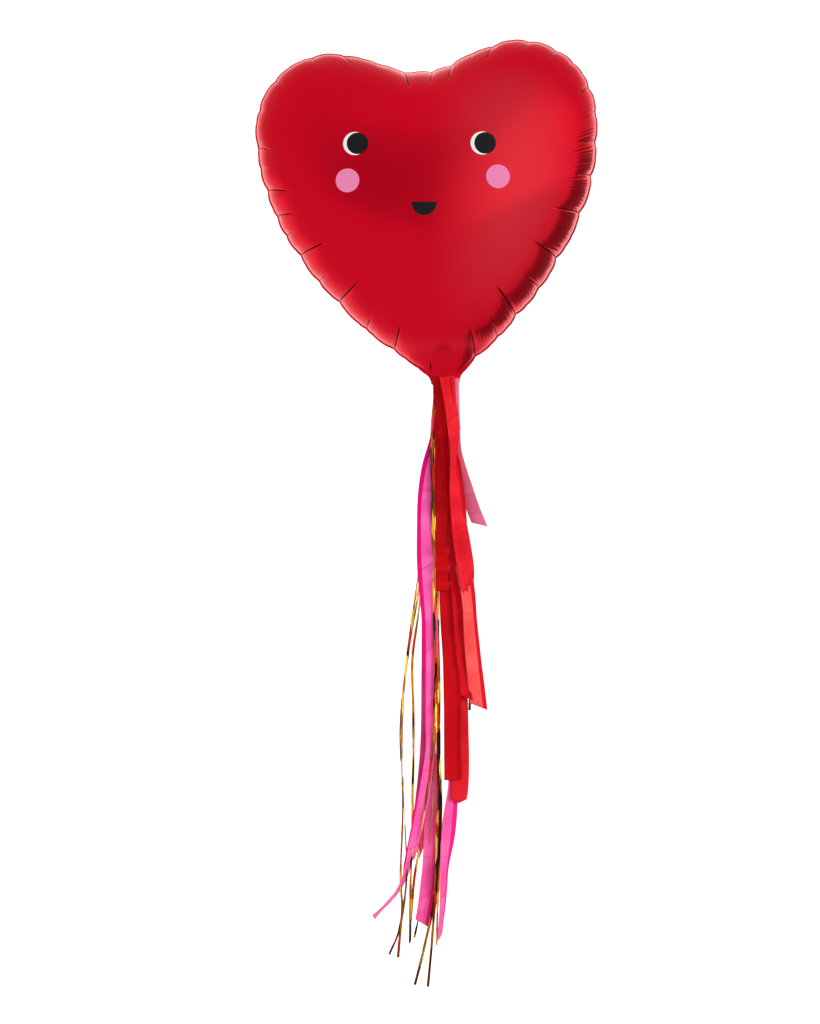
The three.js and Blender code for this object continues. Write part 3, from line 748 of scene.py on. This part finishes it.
def strand(number, points, seed):
    """A gold strip, on its own body."""

    def jitter(length, count):
        """Sharp turns at random places, which make the creases."""
        draw = np.random.default_rng(seed + 9)
        turn = np.zeros(count)
        s = np.linspace(0, length, count)
        at = 0.0
        while at < length:
            turn += math.radians(draw.uniform(-60, 60)) * smooth(s, at, at + 5)
            at += draw.uniform(9, 30)
        return np.angle(np.exp(1j * turn)) * 0.45

    node = f"gold_strip_{number}"
    obj, path, length = ribbon(f"gold_ribbon_{number}", [(*p, 0) for p in points], GOLD_WIDTH, seed, across=4,
                               flutter=0.5, thickness=GOLD_FILM, jitter=jitter)
    obj.data.materials.append(gold)
    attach(obj, node)
    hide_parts(node)


strand(1, [
    (-9, -7, -5), (-15, -8, -90), (-21, -9, -160), (-29, -10, -215), (-38.6, -11, -287),
    (-45, -11, -341), (-49, -11, -394), (-48, -11, -438), (-46.4, -11, -475), (-49, -11, -557),
    (-48, -11, -590), (-52, -11, -643),
], 200)
strand(2, [
    (-8, -8.2, -5), (-14, -9, -120), (-22, -10, -200), (-29, -11, -260), (-36, -12, -311),
    (-35.8, -12, -350), (-35, -12, -400), (-35.7, -12, -456), (-37, -12, -520), (-38.5, -12, -560),
    (-39, -11, -625),
], 210)
strand(3, [
    (-8, -6.4, -5), (-17, -7, -130), (-29, -9, -235), (-40, -10, -300), (-46, -10, -355),
    (-46.5, -9, -440), (-44, -9, -500), (-43, -9, -560), (-50, -9, -610), (-62, -9, -640),
], 220)
strand(4, [
    (-7, -8.8, -5), (-10, -10, -150), (-9.5, -13, -230), (-9, -13, -290), (-11, -13, -350),
    (-16, -13, -430), (-23, -13, -484), (-28, -13, -519), (-34, -13, -554), (-37, -13, -590),
    (-39.5, -13, -627),
], 230)
strand(5, [
    (-5, -7.6, -5), (-8, -9, -150), (-9, -9, -300), (-12, -8, -420), (-18, -6, -520), (-25, -4, -575),
    (-34, -4, -622),
], 240)
strand(6, [
    (-4, -9.0, -5), (-11, -12, -60), (-13, -13, -120), (-12, -14, -250), (-11, -15, -340),
    (-8.3, -15, -410), (-6.9, -15, -447), (-9, -15, -500), (-10, -15, -550), (-14, -14, -590),
    (-21, -13, -622), (-27, -13, -648), (-33.5, -13, -673),
], 250)
strand(7, [
    (8, -5.8, -5), (12, -6, -120), (18, -8, -220), (24, -10, -300), (27.5, -11, -345),
    (27.5, -11, -370),
], 260)
strand(8, [
    (-5, -9.6, -5), (-14, -13, -50), (-14, -14, -100), (-11, -15, -180), (-8, -16, -240),
    (-7.4, -16, -285), (-6.4, -16, -330), (-6, -16, -431), (-4.3, -16, -470), (-6.5, -16, -523),
    (-8, -16, -560), (-12.6, -15, -600), (-16, -14, -641), (-19.2, -14, -675),
], 270)
strand(9, [
    (-9.5, -9.8, -5), (-15, -12, -60), (-15, -14, -110), (-13, -15, -200), (-11, -16, -300),
    (-7, -16, -400), (-5, -16, -460), (-7, -16, -530), (-8, -15, -580), (-9.6, -15, -629),
], 280)

# ---------------------------------------------------------------------------------------------------------
# Studio. A plain pale sweep of paper stands far behind the balloon, in an even pale room. A dark card and a
# lamp shape the look of the foil and of the tail.
FLOOR = cad_bounds[0][2] - 0.32
SWEEP_WIDE, SWEEP_TALL, SWEEP_FRONT = 8.0, 6.0, -6.0
SWEEP_CURVE, CURVE_START = 0.8, 4.4
profile = [(SWEEP_FRONT, FLOOR)]
for a in np.linspace(0, math.pi / 2, 24):
    profile.append((CURVE_START + SWEEP_CURVE * math.sin(a), FLOOR + SWEEP_CURVE * (1 - math.cos(a))))
profile.append((CURVE_START + SWEEP_CURVE, FLOOR + SWEEP_TALL))
vertices = [(x, y, z) for y, z in profile for x in (-SWEEP_WIDE, SWEEP_WIDE)]
faces = [(2 * i, 2 * i + 1, 2 * i + 3, 2 * i + 2) for i in range(len(profile) - 1)]
sweep = add_object("sweep", vertices, faces, flat=True)
paper, shader, place = material("sweep_paper")
grain = place.noise(3)
feed(shader, "Base Color", grain.blend((0.93, 0.93, 0.93, 1), (0.95, 0.95, 0.95, 1)))
feed(shader, "Roughness", 0.9)
far = place.axis(1).ramp(0.2, 1.1)
feed(shader, "Emission Color", far.blend((0, 0, 0, 1), (1, 1, 1, 1)))
feed(shader, "Emission Strength", 0.35)
sweep.data.materials.append(paper)

# The room's light has a broad brighter window to the right of the camera, and a dimmer patch where the camera
# stands.
world = bpy.data.worlds.new("studio")
bpy.context.scene.world = world
world.use_nodes = True
background = world.node_tree.nodes["Background"]
background.inputs["Color"].default_value = (1, 1, 1, 1)
heading = S(world.node_tree, None).node("ShaderNodeTexCoord", out=0)


def toward(direction, wide, tight):
    """1 within tight degrees of the direction, falling to 0 at wide."""
    facing = heading.node("ShaderNodeVectorMath", {"operation": "DOT_PRODUCT"}, out=1, i0=heading,
                          i1=Vector(direction).normalized())
    return facing.ramp(math.cos(math.radians(wide)), math.cos(math.radians(tight)))


window = 0.24 * toward((0.75, -0.66, -0.03), 55, 8) + 0.14 * toward((0.76, -0.62, -0.18), 50, 45)
glow = 0.92 + window - 0.26 * toward((-0.25, -0.96, 0.02), 48, 4)
world.node_tree.links.new(glow.socket, background.inputs["Strength"])

# A dark card stands behind the balloon on its right, out of sight, and draws the dark line down that flank.
CARD_AWAY = 1.1
CARD_LIFT = 0.15
turns = np.radians(range(91, 136, 4))
rises = np.radians(range(-64, 9, 6))
vertices = []
for r in rises:
    for t in turns:
        level = CARD_AWAY * math.cos(r)
        vertices.append((level * math.sin(t), -level * math.cos(t), CARD_AWAY * math.sin(r) + CARD_LIFT))
faces = quads(len(rises), len(turns))[:, [0, 3, 2, 1]]
dark_card = add_object("dark_card", vertices, faces.tolist(), flat=True)
dark_card.visible_camera = False
felt, shader, place = material("dark_card_felt")
nap = place.noise(8)
feed(shader, "Base Color", nap.blend((0.30, 0.30, 0.30, 1), (0.38, 0.38, 0.38, 1)))
feed(shader, "Roughness", 1.0)
dark_card.data.materials.append(felt)

# A soft light from the right models the folds of the tail, and lights only the tail.
TAIL_MIDDLE = (0, 0, -0.35)
tail_light = bpy.data.lights.new("tail_light", "AREA")
tail_light.shape = "RECTANGLE"
tail_light.size, tail_light.size_y = 0.7, 1.4
tail_light.energy = 17
lamp = bpy.data.objects.new("tail_light", tail_light)
lamp.location = (1.7, -1.1, 0.1)
lamp.rotation_euler = (Vector(TAIL_MIDDLE) - lamp.location).to_track_quat("-Z", "Y").to_euler()
bpy.context.collection.objects.link(lamp)
lamp.light_linking.receiver_collection = tail_pieces

# The camera stands level and square to the face.
SENSOR = 24
CAMERA_AWAY = 4.2
VIEW_X, VIEW_Z = -0.0388, -0.151
VIEW_TALL = 1.134
camera_data = bpy.data.cameras.new("camera")
camera = bpy.data.objects.new("camera", camera_data)
bpy.context.collection.objects.link(camera)
camera.location = (VIEW_X, -CAMERA_AWAY, VIEW_Z)
camera.rotation_euler = (math.pi / 2, 0, 0)
camera_data.sensor_fit = "VERTICAL"
camera_data.sensor_height = SENSOR
camera_data.lens = SENSOR * CAMERA_AWAY / VIEW_TALL
bpy.context.scene.camera = camera
bpy.context.scene.view_settings.view_transform = "Standard"
